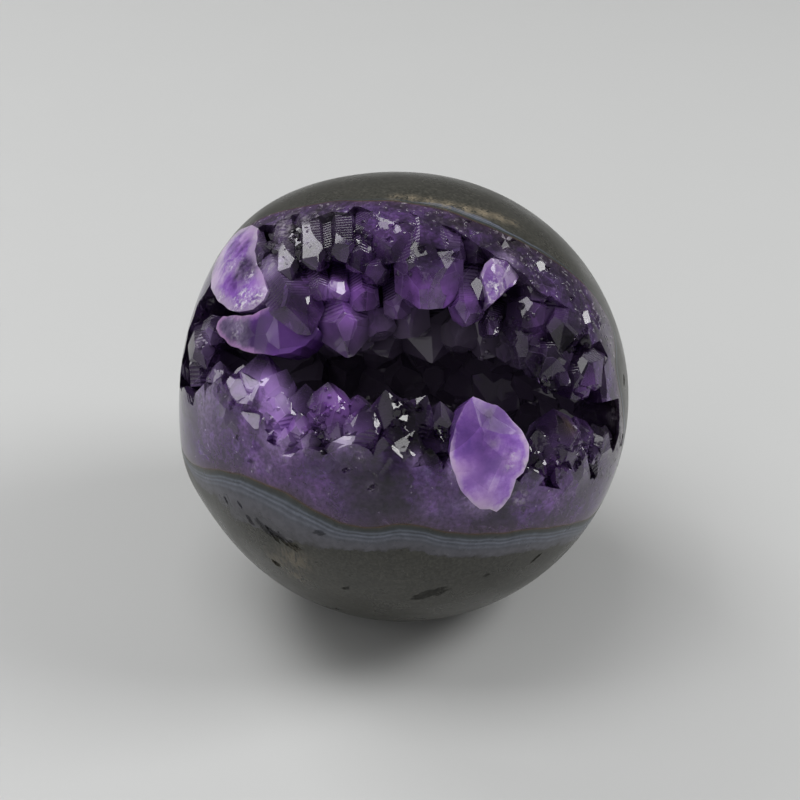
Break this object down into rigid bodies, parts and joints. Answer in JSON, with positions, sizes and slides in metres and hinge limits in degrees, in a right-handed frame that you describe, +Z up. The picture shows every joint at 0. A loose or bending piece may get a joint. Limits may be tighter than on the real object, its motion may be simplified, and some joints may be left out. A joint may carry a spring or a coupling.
{
  "type": "amethyst geode sphere",
  "caption": "Polished basalt ball cut open to a crystal-lined hollow, resting on a small ground flat, for display on a shelf or desk.",
  "frame": {"origin": "middle of the bounding box in X and Y, at the ground flat the ball rests on", "axes": "+Z up, -Y towards the front that the open hollow faces, +X to the right as seen from the front"},
  "size_m": [0.072, 0.072, 0.0704],
  "materials": {
    "stone": "polished",
    "amethyst": "glossy crystal faces"
  },
  "bodies": {
    "root": {"stone_ball": "stone", "amethyst_crust": "amethyst"}
  },
  "joints": []
}
